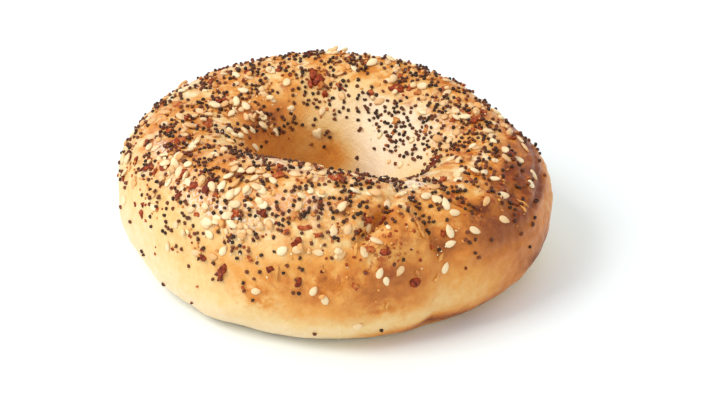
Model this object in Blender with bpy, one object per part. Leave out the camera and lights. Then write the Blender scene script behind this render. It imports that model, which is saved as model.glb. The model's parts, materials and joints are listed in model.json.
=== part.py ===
"""An everything bagel: a baked ring of dough with flakes and seeds baked onto its top.

Units are metres and +Z is up. The bagel rests on z = 0, and the middle of its box is at x = y = 0.

A place on the crust is given by two angles in degrees. The ring angle goes round the hole: 0 is the
right side, 90 the back, 180 the left and 270 the front. The tube angle goes round the dough itself:
0 is the outside, 90 the top and 180 the wall of the hole.
"""

import math
import random

import bmesh
import bpy
from mathutils import Matrix, Vector, noise

# The ring of dough, as means round the whole ring
OUTSIDE_RADIUS = 0.0511
TOP_LINE_RADIUS = 0.0352
HOLE_RADIUS = 0.0154
TOP_HEIGHT = 0.0346
WIDEST_HEIGHT_OUTSIDE = 0.0151
NARROWEST_HEIGHT_IN_HOLE = 0.0150
BASE_PRESSED_FLAT = 0.0010

# How the ring departs from a true one: (waves in a turn, cosine part, sine part)
OUTSIDE_WAVES = ((2, 0.0028, -0.0029), (3, 0.0019, 0.0010), (4, 0.0002, 0.0001))
TOP_LINE_WAVES = ((1, 0.0020, 0.0019), (2, 0.0018, 0.0))
HOLE_WAVES = ((1, -0.0016, 0.0022), (2, 0.0001, -0.0007), (3, 0.0005, -0.0010))
HEIGHT_WAVES = ((1, -0.0012, -0.0011), (2, -0.0024, 0.0015))
BOX_MIDDLE = (0.0014, -0.0004)

# Power of the section's curve: 2 is an ellipse, more is squarer. The hole's wall is steep on the left
# and slopes gently on the right.
UPPER_POWER_OUTSIDE = 2.10
UPPER_POWER_IN_HOLE = 2.15
UPPER_POWER_WAVES = ((1, -0.65, 0.10),)
LOWER_POWER = 2.70

# The seam where the two ends of the dough strand were rolled together
SEAM_RING = 304.4
SEAM_SWAY = 2.8
SEAM_DEPTH = 0.0013
SEAM_HALF_WIDTH = 4.2
CREASE_RING = 282.0
CREASE_TUBE = 43.0
CREASE_SLANT = 0.41
CREASE_HALF_WIDTH = 3.0
# Swellings of the dough beside the seam: (ring, tube, ring reach, tube reach, height)
SWELLINGS = (
    (293.5, 44, 6, 15, 0.0010),
    (278, 5, 14, 40, 0.0008),
    (319, 5, 12, 40, 0.0005),
)

# Uneven rise of the dough in the oven
RISE_SIZE = 0.013
RISE_HEIGHT = 0.0008

# Sections of the mesh
COARSE_STEP = 4.5
FINE_STEP = 2.25
FINE_FROM, FINE_TO = 269, 315
BASE_EDGE_TUBE = 68
TUBE_STEPS = 24

# Toppings: mean sizes, and how many are placed by rule
FLAKE_LENGTH, FLAKE_WIDTH, FLAKE_THICKNESS = 0.0034, 0.0023, 0.0015
SESAME_LENGTH, SESAME_WIDTH, SESAME_THICKNESS = 0.0034, 0.0020, 0.0013
POPPY_RADIUS = 0.00062
FLAKE_COUNT, SESAME_COUNT, POPPY_COUNT = 26, 92, 44
TOPPING_CLEARANCE = 0.0005
SURE_TRIES = 6000

# The onion flakes that stand out most: (ring, tube, length, width, turn from the ring's direction)
LARGE_FLAKES = (
    (96, 118, 0.0056, 0.0036, 20),
    (53, 114, 0.0050, 0.0022, 10),
    (350, 123, 0.0046, 0.0020, -25),
    (40, 133, 0.0026, 0.0020, 60),
    (82, 132, 0.0030, 0.0020, 0),
    (232, 3, 0.0054, 0.0024, 80),
    (295, 9, 0.0025, 0.0023, 30),
    (262, 37, 0.0027, 0.0018, 50),
    (255, 19, 0.0020, 0.0015, 0),
    (263, 13, 0.0025, 0.0016, 70),
    (242, 48, 0.0027, 0.0020, 15),
    (250, 52, 0.0027, 0.0018, -30),
)


def ramp(value, start, end):
    """Rises smoothly from 0 at start to 1 at end."""
    share = min(max((value - start) / (end - start), 0.0), 1.0)
    return share * share * (3 - 2 * share)


def hump(value, reach):
    """1 at 0, falling away on both sides within about twice the reach."""
    return math.exp(-((value / reach) ** 2))


def turned(angle, other=0.0):
    """The way from other to angle, in degrees from -180 to 180."""
    return (angle - other + 180) % 360 - 180


def waved(ring, mean, waves):
    angle = math.radians(ring)
    return mean + sum(c * math.cos(k * angle) + s * math.sin(k * angle) for k, c, s in waves)


def seam_relief(ring, tube):
    """How far the dough stands out round its seam: a groove down the outside and a crease over the top."""
    groove_ring = SEAM_RING + SEAM_SWAY * math.sin(math.radians(2.6 * tube))
    groove = hump(turned(ring, groove_ring), SEAM_HALF_WIDTH)
    groove *= ramp(tube, -75, -35) * (1 - ramp(tube, 62, 95))
    crease_ring = CREASE_RING + CREASE_SLANT * (tube - CREASE_TUBE)
    crease = hump(turned(ring, crease_ring), CREASE_HALF_WIDTH)
    crease *= ramp(tube, 30, 48) * (1 - ramp(tube, 100, 135))
    swelling = sum(
        height * hump(turned(ring, at_ring), ring_reach) * hump(turned(tube, at_tube), tube_reach)
        for at_ring, at_tube, ring_reach, tube_reach, height in SWELLINGS
    )
    return swelling - SEAM_DEPTH * (groove + crease)


def crust_point(ring, tube):
    """The place on the crust at these two angles."""
    tube = turned(tube)
    outside = waved(ring, OUTSIDE_RADIUS, OUTSIDE_WAVES)
    top_line = waved(ring, TOP_LINE_RADIUS, TOP_LINE_WAVES)
    hole = waved(ring, HOLE_RADIUS, HOLE_WAVES)
    top = waved(ring, TOP_HEIGHT, HEIGHT_WAVES)
    power_in_hole = waved(ring, UPPER_POWER_IN_HOLE, UPPER_POWER_WAVES)
    across, up = math.cos(math.radians(tube)), math.sin(math.radians(tube))
    outward = (1 + across) / 2
    widest = NARROWEST_HEIGHT_IN_HOLE + (WIDEST_HEIGHT_OUTSIDE - NARROWEST_HEIGHT_IN_HOLE) * outward
    if up >= 0:
        power = power_in_hole + (UPPER_POWER_OUTSIDE - power_in_hole) * outward
        height = widest + (top - widest) * up ** (2 / power)
    else:
        power = LOWER_POWER
        height = widest - (widest + BASE_PRESSED_FLAT) * (-up) ** (2 / power)
    height = max(height, 0.0)
    reach = outside - top_line if across >= 0 else hole - top_line
    radius = top_line + reach * abs(across) ** (2 / power)
    direction = Vector((math.cos(math.radians(ring)), math.sin(math.radians(ring)), 0))
    bare = direction * radius + Vector((0, 0, height))
    stands_out = seam_relief(ring, tube) + RISE_HEIGHT * noise.noise(bare / RISE_SIZE)
    radius += stands_out * across
    height += stands_out * up * ramp(height, 0, 0.003)
    return direction * radius + Vector((-BOX_MIDDLE[0], -BOX_MIDDLE[1], max(height, 0.0)))


def crust_frame(ring, tube, turn=0.0, lift=0.0):
    """A frame on the crust for a topping: X along it, at this turn from the ring's direction, Z outward."""
    here = crust_point(ring, tube)
    along = (crust_point(ring + 0.5, tube) - crust_point(ring - 0.5, tube)).normalized()
    over = (crust_point(ring, tube + 0.5) - crust_point(ring, tube - 0.5)).normalized()
    outward = along.cross(over).normalized()
    over = outward.cross(along)
    angle = math.radians(turn)
    x_axis = along * math.cos(angle) + over * math.sin(angle)
    frame = Matrix((x_axis, outward.cross(x_axis), outward)).transposed().to_4x4()
    frame.translation = here + outward * lift
    return frame


def ring_stations():
    """Ring angles of the dough's sections, closer together at the seam."""
    stations = []
    ring = 0.0
    while ring < 360:
        stations.append(ring)
        ring += FINE_STEP if FINE_FROM < ring < FINE_TO else COARSE_STEP
    return stations


def tube_stations():
    """Tube angles from the base's outer edge over the top to its inner edge."""
    span = 180 + 2 * BASE_EDGE_TUBE
    return [-BASE_EDGE_TUBE + span * step / TUBE_STEPS for step in range(TUBE_STEPS + 1)]


def topped(ring, tube):
    """How much topping sticks there, 0 to 1: the top was pressed into it, and the sides caught little."""
    tube = turned(tube)
    outer_limit = 18 + 14 * math.cos(math.radians(ring - 300))
    share = ramp(tube, outer_limit - 14, outer_limit + 34) * (1 - ramp(tube, 118, 158))
    bare_left = hump(turned(ring, 168), 24) * hump(tube - 95, 30)
    return share * (1 - 0.7 * bare_left)


def crust_stretch(ring, tube):
    """Area of crust for each square degree, to spread things by area and not by angle."""
    here = crust_point(ring, tube)
    return ((crust_point(ring + 1, tube) - here).cross(crust_point(ring, tube + 1) - here)).length


def rule_places(count, reach, taken, draw):
    """Evenly spread places on the topped crust, clear of those taken, which it adds to."""
    fullest = crust_stretch(180, 30)
    places = []
    for step in range(1, SURE_TRIES):
        if len(places) == count:
            break
        ring = 360 * ((0.5 + 0.7548777 * step) % 1)
        tube = -10 + 180 * ((0.5 + 0.5698403 * step) % 1)
        chance = topped(ring, tube) * crust_stretch(ring, tube) / fullest
        at = crust_point(ring, tube)
        clear = all((at - other).length > reach + other_reach for other, other_reach in taken)
        if draw.random() < chance and clear:
            taken.append((at, reach))
            places.append((ring, tube))
    return places


def add_flake(mesh, ring, tube, length, width, turn, draw):
    """A torn piece of dried onion: an uneven slab of seven sides, its upper edge drawn in."""
    frame = crust_frame(ring, tube, turn)
    sides = 7
    corners = []
    for side in range(sides):
        angle = 2 * math.pi * side / sides
        stretch = draw.uniform(0.82, 1.12)
        corners.append(Vector((math.cos(angle) * length / 2, math.sin(angle) * width / 2, 0)) * stretch)
    low = [mesh.verts.new(frame @ (c + Vector((0, 0, -FLAKE_THICKNESS / 2)))) for c in corners]
    top = [
        mesh.verts.new(frame @ (c * 0.8 + Vector((0, 0, FLAKE_THICKNESS * draw.uniform(0.35, 0.55)))))
        for c in corners
    ]
    mesh.faces.new(low[::-1])
    mesh.faces.new(top)
    for side in range(sides):
        after = (side + 1) % sides
        mesh.faces.new((low[side], low[after], top[after], top[side]))


def add_sesame(mesh, ring, tube, turn, size):
    """A sesame seed: a flattened teardrop of two six-sided hoops between its ends."""
    frame = crust_frame(ring, tube, turn, 0.0001)
    length, width, thickness = SESAME_LENGTH * size, SESAME_WIDTH * size, SESAME_THICKNESS
    blunt = mesh.verts.new(frame @ Vector((-length / 2, 0, 0)))
    point = mesh.verts.new(frame @ Vector((length / 2, 0, 0)))
    hoops = []
    for along, share in ((-0.22, 1.0), (0.18, 0.76)):
        hoop = []
        for side in range(6):
            angle = math.pi / 3 * side
            across, out = share * math.cos(angle) * width / 2, share * math.sin(angle) * thickness / 2
            hoop.append(mesh.verts.new(frame @ Vector((along * length, across, out))))
        hoops.append(hoop)
    for side in range(6):
        after = (side + 1) % 6
        mesh.faces.new((blunt, hoops[0][after], hoops[0][side]))
        mesh.faces.new((hoops[0][side], hoops[0][after], hoops[1][after], hoops[1][side]))
        mesh.faces.new((hoops[1][side], hoops[1][after], point))


def add_poppy(mesh, ring, tube, turn):
    """A poppy seed: a tiny twenty-sided ball, its lower third in the crust."""
    frame = crust_frame(ring, tube, turn, POPPY_RADIUS * 0.35)
    bmesh.ops.create_icosphere(mesh, subdivisions=1, radius=POPPY_RADIUS, matrix=frame)


def material(name, colour, roughness):
    made = bpy.data.materials.new(name)
    made.use_nodes = True
    shader = made.node_tree.nodes["Principled BSDF"]
    shader.inputs["Base Color"].default_value = (*colour, 1)
    shader.inputs["Roughness"].default_value = roughness
    shader.inputs["Metallic"].default_value = 0
    made.diffuse_color = (*colour, 1)
    return made


def crust_material():
    return material("baked crust", (0.72, 0.40, 0.14), 0.5)


def flake_material():
    return material("toasted onion", (0.24, 0.05, 0.02), 0.5)


def sesame_material():
    return material("hulled sesame", (0.80, 0.62, 0.38), 0.4)


def poppy_material():
    return material("poppy seed", (0.02, 0.02, 0.025), 0.5)


def finished(name, mesh, made_of, collection):
    """Turns the built mesh into an object of one material."""
    bmesh.ops.recalc_face_normals(mesh, faces=mesh.faces)
    data = bpy.data.meshes.new(name)
    mesh.to_mesh(data)
    mesh.free()
    data.materials.append(made_of)
    thing = bpy.data.objects.new(name, data)
    collection.objects.link(thing)
    return thing


def make_dough(collection):
    """The bare ring: sections round the hole, each closed by the flat strip it rests on."""
    mesh = bmesh.new()
    sections = [
        [mesh.verts.new(crust_point(ring, tube)) for tube in tube_stations()] for ring in ring_stations()
    ]
    for index, section in enumerate(sections):
        following = sections[(index + 1) % len(sections)]
        for step in range(len(section)):
            after = (step + 1) % len(section)
            mesh.faces.new((section[step], following[step], following[after], section[after]))
    return finished("bagel", mesh, crust_material(), collection)


def make_flakes(collection, taken, draw):
    mesh = bmesh.new()
    for ring, tube, length, width, turn in LARGE_FLAKES:
        taken.append((crust_point(ring, tube), length / 2 + TOPPING_CLEARANCE))
        add_flake(mesh, ring, tube, length, width, turn, draw)
    for ring, tube in rule_places(FLAKE_COUNT, FLAKE_LENGTH / 2 + TOPPING_CLEARANCE, taken, draw):
        size = draw.uniform(0.75, 1.15)
        add_flake(mesh, ring, tube, FLAKE_LENGTH * size, FLAKE_WIDTH * size, draw.uniform(0, 180), draw)
    return finished("onion flakes", mesh, flake_material(), collection)


def make_sesame(collection, taken, draw):
    mesh = bmesh.new()
    for ring, tube in rule_places(SESAME_COUNT, SESAME_LENGTH / 2 + TOPPING_CLEARANCE, taken, draw):
        add_sesame(mesh, ring, tube, draw.uniform(0, 360), draw.uniform(0.88, 1.1))
    return finished("sesame seeds", mesh, sesame_material(), collection)


def make_poppy(collection, taken, draw):
    mesh = bmesh.new()
    for ring, tube in rule_places(POPPY_COUNT, POPPY_RADIUS + TOPPING_CLEARANCE, taken, draw):
        add_poppy(mesh, ring, tube, draw.uniform(0, 360))
    return finished("poppy seeds", mesh, poppy_material(), collection)


def fuse(dough, toppings):
    """Joins the toppings to the dough for good and removes them as separate things."""
    joint = dough.modifiers.new("toppings", "BOOLEAN")
    joint.operation = "UNION"
    joint.operand_type = "COLLECTION"
    joint.collection = toppings
    joint.solver = "EXACT"
    joint.material_mode = "TRANSFER"
    bpy.context.view_layer.update()
    whole = bpy.data.meshes.new_from_object(dough.evaluated_get(bpy.context.evaluated_depsgraph_get()))
    dough.modifiers.remove(joint)
    bare = dough.data
    dough.data = whole
    whole.name = bare.name
    bpy.data.meshes.remove(bare)
    for thing in list(toppings.objects):
        bpy.data.objects.remove(thing)
    bpy.data.collections.remove(toppings)
    whole.shade_smooth()
    whole.set_sharp_from_angle(angle=math.radians(40))


def main():
    for thing in list(bpy.data.objects):
        bpy.data.objects.remove(thing)
    scene_things = bpy.context.scene.collection
    toppings = bpy.data.collections.new("toppings")
    scene_things.children.link(toppings)
    dough = make_dough(scene_things)
    draw = random.Random(11)
    taken = []
    make_flakes(toppings, taken, draw)
    make_sesame(toppings, taken, draw)
    make_poppy(toppings, taken, draw)
    fuse(dough, toppings)


main()
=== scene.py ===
"""An everything bagel as it comes from the oven: crust, seeds, flakes, grains and a plain stage.

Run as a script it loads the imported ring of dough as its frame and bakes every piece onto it. Units are
metres and +Z is up. A place on the crust is given by two angles in degrees. The ring angle goes round the
hole: 0 is the right side, 90 the back, 180 the left and 270 the front. The tube angle goes round the dough
itself: 0 is the outside, 90 the top and 180 the wall of the hole.
"""

import itertools
import json
import math
import random

import bmesh
import bpy
import numpy as np
from mathutils import Matrix, Vector, noise
from mathutils.bvhtree import BVHTree

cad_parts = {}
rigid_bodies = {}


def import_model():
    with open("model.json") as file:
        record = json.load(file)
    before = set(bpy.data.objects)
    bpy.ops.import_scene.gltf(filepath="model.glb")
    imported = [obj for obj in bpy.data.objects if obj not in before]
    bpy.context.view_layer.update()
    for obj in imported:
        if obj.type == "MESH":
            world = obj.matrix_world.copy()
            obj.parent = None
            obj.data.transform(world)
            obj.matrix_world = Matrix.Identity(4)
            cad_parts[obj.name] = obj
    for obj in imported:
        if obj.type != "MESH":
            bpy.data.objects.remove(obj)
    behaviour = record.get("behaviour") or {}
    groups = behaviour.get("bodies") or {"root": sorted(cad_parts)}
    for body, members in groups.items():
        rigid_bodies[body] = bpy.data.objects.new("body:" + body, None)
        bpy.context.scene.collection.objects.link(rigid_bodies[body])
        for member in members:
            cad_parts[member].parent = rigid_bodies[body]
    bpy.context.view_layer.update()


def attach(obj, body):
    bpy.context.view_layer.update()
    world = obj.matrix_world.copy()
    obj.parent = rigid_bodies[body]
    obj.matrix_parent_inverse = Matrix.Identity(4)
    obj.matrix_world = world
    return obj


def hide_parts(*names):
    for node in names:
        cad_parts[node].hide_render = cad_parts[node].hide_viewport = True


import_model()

bl_info = {
    "name": "Everything Bagel",
    "version": (1, 0, 0),
    "blender": (4, 5, 0),
    "location": "3D View > Sidebar > Bagel",
    "description": "Bakes the crust of an everything bagel and sprinkles its toppings",
    "category": "Add Mesh",
}

MM = 0.001

# How the ring departs from a true one: (waves in a turn, cosine part, sine part)
OUTSIDE_WAVES = ((2, 0.0028, -0.0029), (3, 0.0019, 0.0010), (4, 0.0002, 0.0001))
TOP_LINE_WAVES = ((1, 0.0020, 0.0019), (2, 0.0018, 0.0))
HOLE_WAVES = ((1, -0.0016, 0.0022), (2, 0.0001, -0.0007), (3, 0.0005, -0.0010))
HEIGHT_WAVES = ((1, -0.0012, -0.0011), (2, -0.0024, 0.0015))
BOX_MIDDLE = (0.0014, -0.0004)
WIDEST_HEIGHT_OUTSIDE = 0.0151
NARROWEST_HEIGHT_IN_HOLE = 0.0150
BASE_PRESSED_FLAT = 0.0010

# Power of the section's curve: 2 is an ellipse, more is squarer. The hole's wall is steep on the left
# and slopes gently on the right.
UPPER_POWER_OUTSIDE = 2.10
UPPER_POWER_IN_HOLE = 2.15
UPPER_POWER_WAVES = ((1, -0.65, 0.10),)
LOWER_POWER = 2.70

# The seam where the two ends of the dough strand were rolled together
SEAM_RING, SEAM_SWAY, SEAM_HALF_WIDTH = 304.4, 2.8, 4.2
CREASE_RING, CREASE_TUBE, CREASE_SLANT, CREASE_HALF_WIDTH = 282.0, 43.0, 0.41, 3.0
# Swellings of the dough beside the seam: (ring, tube, ring reach, tube reach, height)
SWELLINGS = (
    (293.5, 44, 6, 15, 0.0010),
    (278, 5, 14, 40, 0.0008),
    (319, 5, 12, 40, 0.0005),
)
# Soft unevenness of the rise
RISE_SIZE, RISE_HEIGHT = 0.013, 0.0008
# Low in the back of the hole the wall stands further in: (ring, tube, ring reach, tube reach, how far)
HOLE_BULGE = (95, 205, 60, 22, 0.0012)
# The skin's relief fades in between these heights over the flat base
BASE_EDGE, FREE_SKIN = 0.0005, 0.003

# The crust's mesh: sections round the ring, and points round each
CRUST_SECTIONS, CRUST_STEPS = 560, 170

# Straight ridges and valleys of the skin: (ring, tube, turn, half length, half width, rise), lengths in mm
FOLDS = (
    # The strand's end, lapped over by the crease and cut off by the groove
    (284.5, 49, 38, 5.5, 0.95, -1.3), (289.5, 38, 30, 4.2, 2.8, 0.8), (297, 46, 85, 4.5, 1.3, 0.9),
    (303.2, 43, 90, 6, 1.3, -1.5), (293.5, 62, 60, 3, 1.2, 0.6), (281, 58, 35, 4, 1.6, 0.6),
    (299.5, 33, 60, 2.6, 0.9, 0.6), (310, 46, 88, 5, 1.6, 0.5),
    # The ridge that the glaze ran down, the valley before it and the hollow behind it
    (326, 64, -61, 5.6, 1.9, 1.25), (320.5, 52, -44, 5.5, 1.2, -1.25),
    (340, 50, 55, 5, 2.2, -1.35), (314, 60, -50, 4, 1.3, 0.6),
    (331, 32, -10, 5, 1.6, 0.5), (349, 60, 20, 6, 1.2, 0.6), (346, 30, 8, 7, 1, -0.5),
    (352, 45, 5, 7, 0.8, 0.5), (318, 12, 5, 7, 1.1, -0.4), (328, 6, -8, 6, 1, 0.3),
    (337, 68, 40, 3, 0.8, -0.6), (352, 56, 25, 4, 0.9, -0.55),
    (345, 78, -50, 3, 1, 0.5),
    # Soft lumps where the top rose unevenly
    (262, 66, 20, 5, 2, 0.4), (245, 52, -10, 5, 1.8, 0.4), (212, 70, 30, 6, 2, 0.45),
    (228, 74, -20, 5, 1.6, -0.4), (196, 58, 60, 5, 2, -0.35),
)
# What a degree is worth there, on the front's upper half
MM_PER_RING_DEGREE, MM_PER_TUBE_DEGREE = 0.78, 0.30

# Patches of the crust: (ring, tube, ring reach, tube reach, how much). Where it blistered
BLISTER_PATCHES = (
    (266, 43, 8, 7, 1.0), (284, 30, 9, 11, 0.9), (290, 45, 6, 8, 0.6), (240, 45, 8, 8, 0.5),
    (322, 75, 10, 10, 0.4),
)
# Where the oven took it further or less, with painted shade and painted light laid in among the real
# browning
BAKE_AND_PAINTED_SHADING_PATCHES = (
    # The pale left side, and the band of orange that rises from the left to the seam
    (195, -5, 28, 22, -0.08), (240, 12, 16, 15, 0.14), (270, 9, 20, 24, 0.36), (292, 9, 13, 20, 0.34),
    (294, -44, 20, 14, 0.54), (291, 50, 12, 20, 0.16), (245, -35, 24, 16, 0.10),
    # The brown right side: partly browner bake, partly painted shade on the side away from the lamp, with
    # painted shade in the valley and hollow of its folds and a paler painted highlight on the glazed ridge
    (322, 28, 18, 26, 0.52), (345, 42, 18, 30, 0.50), (8, 52, 20, 26, 0.28), (14, 44, 10, 10, 0.38),
    (325, -38, 28, 20, 0.60), (342, -10, 22, 20, 0.44), (333, 44, 10, 12, 0.12), (350, 28, 10, 14, 0.20),
    (338, 50, 8, 10, 0.46), (306, 28, 4, 9, 0.24), (328, 63, 4, 9, -0.24), (345, 92, 12, 9, -0.18),
    (323, 49, 5, 8, 0.40), (352, 44, 8, 12, 0.16), (345, -16, 12, 9, 0.26), (315, -50, 12, 8, 0.25),
    (312, 68, 9, 8, 0.14), (352, 54, 11, 14, 0.26), (346, 20, 9, 8, -0.14), (351, 58, 9, 9, 0.14),
    (308, -38, 16, 9, 0.14), (302, 40, 6, 11, 0.16), (288, 66, 8, 11, 0.12), (288, 18, 7, 8, 0.10),
    # Pale stretches of the top
    (311, 108, 15, 17, -0.50), (30, 62, 9, 8, -0.50), (55, 75, 16, 9, -0.60), (92, 72, 24, 10, -0.50),
    (142, 78, 12, 10, -0.16), (275, 78, 22, 14, -0.20), (225, 112, 20, 15, -0.30), (25, 100, 34, 12, -0.14),
    (118, 100, 24, 12, -0.26), (264, 108, 22, 12, -0.34), (330, 120, 9, 9, -0.42),
    (170, 112, 13, 16, -0.30), (238, 106, 10, 8, -0.20), (314, 106, 8, 8, -0.12), (36, 108, 14, 10, -0.10),
    (142, 116, 8, 12, 0.16), (348, 90, 9, 8, -0.2), (3, 78, 8, 8, -0.2), (150, 66, 10, 16, -0.22),
    (195, 45, 8, 8, -0.16), (197, 68, 8, 7, 0.12),
    # The wall of the hole, left and back, darkened as painted shade where the lamp's light doesn't reach it
    (150, 138, 22, 14, 0.26), (126, 138, 18, 9, 0.22), (128, 160, 26, 14, 0.08), (82, 176, 16, 12, 0.34),
    (110, 205, 60, 30, 0.20), (50, 90, 8, 6, 0.15),
)
# Where the glaze caught; the first row also lays amber along the right cheek's ridge as a painted highlight
GLAZE_AND_HIGHLIGHT_PATCHES = (
    (326, 65, 6, 14, 1.2), (317, 52, 7, 12, 0.6), (270, 12, 12, 9, 0.5), (251, 3, 5, 8, 0.6),
    (284, 28, 9, 12, 0.5), (336, 74, 6, 6, 0.8), (340, 40, 7, 8, 0.5), (287, -4, 5, 5, 0.6),
    (352, 96, 8, 10, 0.4), (20, 90, 20, 12, 0.3),
)
# Where dry flour stuck
FLOUR_PATCHES = (
    (240, 44, 12, 8, 0.9), (205, 63, 14, 9, 0.7), (190, 70, 8, 6, 0.8), (224, 52, 12, 9, 0.5),
    (262, 66, 12, 10, 0.5), (30, 66, 10, 8, 0.5), (308, 98, 12, 10, 0.7), (266, 104, 24, 9, 0.45),
    (234, 104, 14, 8, 0.3), (20, 118, 20, 12, 0.5),
)
# Where garlic powder and salt fell, and where poppy seed didn't
POWDER_PATCHES = (
    (244, 40, 10, 8, 1.0), (205, 64, 16, 10, 0.6), (222, 54, 14, 10, 0.3), (60, 108, 30, 10, 0.4),
    (266, 100, 26, 10, 0.9), (152, 128, 26, 14, 1.0), (308, 98, 14, 10, 0.4), (75, 84, 45, 14, 0.45),
)
POPPY_GAPS = (
    (175, 85, 22, 45, 0.6), (321, 110, 20, 26, 0.75), (70, 126, 15, 8, 0.4), (316, 42, 22, 24, 0.65),
    (258, 120, 36, 9, 0.3),
)

# Sesame seeds seen one by one: (ring, tube, turn from the ring's direction), the point of the seed first
LONE_SESAME = (
    (267, 8.5, 60), (270, 3.7, 100), (251, 4, 20), (258, 31, 35), (268, 32, 175), (281, 33, 110),
    (285, 19, 65), (279, -16.5, 15), (241.5, 41, 170), (245, 37, 30), (253, 48, 10), (234, 30, 170),
    (240, 23, 60), (305, 13, 65), (308, 31, 5), (309, 41, 90), (316, 35.5, -45), (313, 54, -25),
    (312, 63, 70), (333, 52, -40), (339, 77, -10), (347, 76, 20), (338, 67, -70), (346, 41.5, -55),
    (94, 146, 60), (218.8, 9.8, 85), (220.9, 26.8, 70), (292.6, 71.8, 60), (281.7, 80.5, 0),
    (287.8, 80.8, 5), (275.8, 64.2, 30), (301.2, 84.5, 0), (308.7, 75.5, 0), (326.8, 84, -10),
    (212.4, 72.5, 20), (217.2, 59.8, 45), (235.2, 82.2, 0), (238.8, 63.8, 70), (242.7, 65.8, 60),
    (185.5, 89.5, 40), (197.7, 90, 10), (189.3, 65.2, 80), (202.9, 63, 30), (144.2, 106.5, 15),
    (154.3, 111.5, 0), (97.2, 163, 80), (163.2, 148.8, -40), (213.6, 92.5, 10), (3, 82.8, 0), (155, 68, 10),
    (149, 60, 0), (186, 120, 30), (172, 128, -20), (186, 60, 15), (70, 100, 60), (58, 110, 10),
    (43, 104, 20), (22, 102, 5), (355, 71, 30), (335, 94, 10), (130, 74, 5), (90, 84, 0), (75, 82, 10),
)

# Heaps of poppy seed, (ring, tube, how many, reach in mm), and lone ones, (ring, tube)
POPPY_HEAPS = (
    # The left side and the front
    (242, 32, 3, 1.0), (249, 40, 5, 1.2), (231, 27, 7, 1.3), (239, 26, 3, 0.9), (244, 24, 8, 1.1),
    (263, 22, 3, 0.7), (263, 12, 3, 0.7), (258, 18, 2, 0.6), (257, 45, 4, 1.0), (237, 19, 2, 0.5),
    (206, 35, 12, 1.3), (221, 47, 6, 1.0), (221, 58, 6, 1.1), (218, 80, 8, 1.6), (223, 75, 9, 1.6),
    (230, 72, 8, 1.4), (192, 79, 24, 1.7), (177, 77, 12, 1.1), (168, 86, 12, 1.1), (174, 36, 8, 1.6),
    (180, 21, 6, 1.2), (190, 55, 8, 1.2), (218, 22, 9, 1.6), (224, 30, 5, 1.1), (237, 40, 4, 1.1),
    (244, 55, 5, 1.1), (236, 58, 4, 1.0), (245, 60, 4, 1.0), (249, 45, 6, 1.1), (255, 56, 10, 1.8),
    (248, 84, 10, 1.8), (253, 97, 12, 2.0), (258, 108, 12, 2.2), (272, 98, 8, 1.8), (240, 102, 8, 1.6),
    (268, 57, 4, 1.0), (264, 56, 5, 1.2), (274, 70, 4, 1.2), (267, 68, 5, 1.2), (263, 42, 2, 0.6),
    (274, 42, 2, 0.6), (280, 88, 8, 1.8), (283, 67, 2, 0.7), (291, 69, 6, 1.0), (292, 61, 4, 0.7),
    (295, 58, 3, 0.7), (183, 82, 8, 1.4), (214, 80, 10, 1.6), (246, 92, 8, 1.5),
    # The back of the top
    (178, 98, 5, 1.2), (175, 108, 6, 1.3), (148, 92, 10, 1.4), (144, 83, 8, 1.2), (152, 102, 12, 1.6),
    (139, 106, 6, 1.3), (121, 87, 10, 1.6), (127, 73, 6, 1.4), (104, 109, 8, 1.6), (89, 96, 14, 1.8),
    (82, 99, 8, 1.6), (75, 97, 10, 2.0), (152, 97, 8, 1.4), (122, 68, 6, 1.3), (135, 68, 6, 1.2),
    (98, 80, 8, 2.0), (72, 106, 8, 1.8), (46, 110, 6, 1.3), (58, 109, 5, 1.3), (42, 98, 6, 1.4),
    (34, 88, 8, 1.6), (95, 88, 12, 2.2),
    # The hole's slope on the right and its wall on the left
    (57, 138, 8, 2.2), (70, 128, 3, 1.2), (45, 123, 5, 1.3), (24, 137, 6, 1.8), (33, 135, 4, 1.5),
    (14, 138, 3, 1.2), (19, 128, 10, 1.6), (24, 118, 10, 1.6), (29, 106, 8, 1.6), (24, 104, 10, 1.8),
    (97, 138, 6, 2.4), (158, 128, 10, 2.4), (140, 138, 8, 2.2), (168, 120, 9, 2.0),
    # The right side
    (8, 99, 12, 1.8), (0, 89, 12, 1.8), (7, 82, 8, 1.5), (358, 106, 8, 1.8), (345, 107, 5, 1.4),
    (321, 74, 8, 1.3), (310, 64, 8, 1.6), (319, 65, 6, 1.0), (319, 55, 6, 1.0), (321, 53, 3, 0.6),
    (308, 41, 2, 0.5), (303, 52, 2, 0.4), (341, 66, 3, 1.2), (342, 48, 2, 1.0), (7, 35, 5, 1.6),
    (303, 107, 8, 1.5), (318, 96, 8, 1.6), (295, 98, 6, 1.4), (352, 82, 10, 1.8), (355, 70, 6, 1.4),
    (350, 55, 4, 1.4), (5, 96, 6, 1.2),
)
LONE_POPPY = (
    (248, 27), (249, 34), (252, 26), (252, 16), (248, 14), (251, 21), (270, 37), (272, 29), (237, 13),
    (240, 5), (237, 3), (247, 7), (250, -1), (227, -28), (233, 20), (215, 28), (209, 21), (210, 15),
    (312, 31), (313, 28), (320, 24), (331, 16), (334, 0), (304, 28), (292, 26), (305, 56), (267, -29),
    (286, -29), (214, -27), (203, -10), (204, -12), (187, 1), (196, 2), (281, 20), (289, 24),
)

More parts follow.
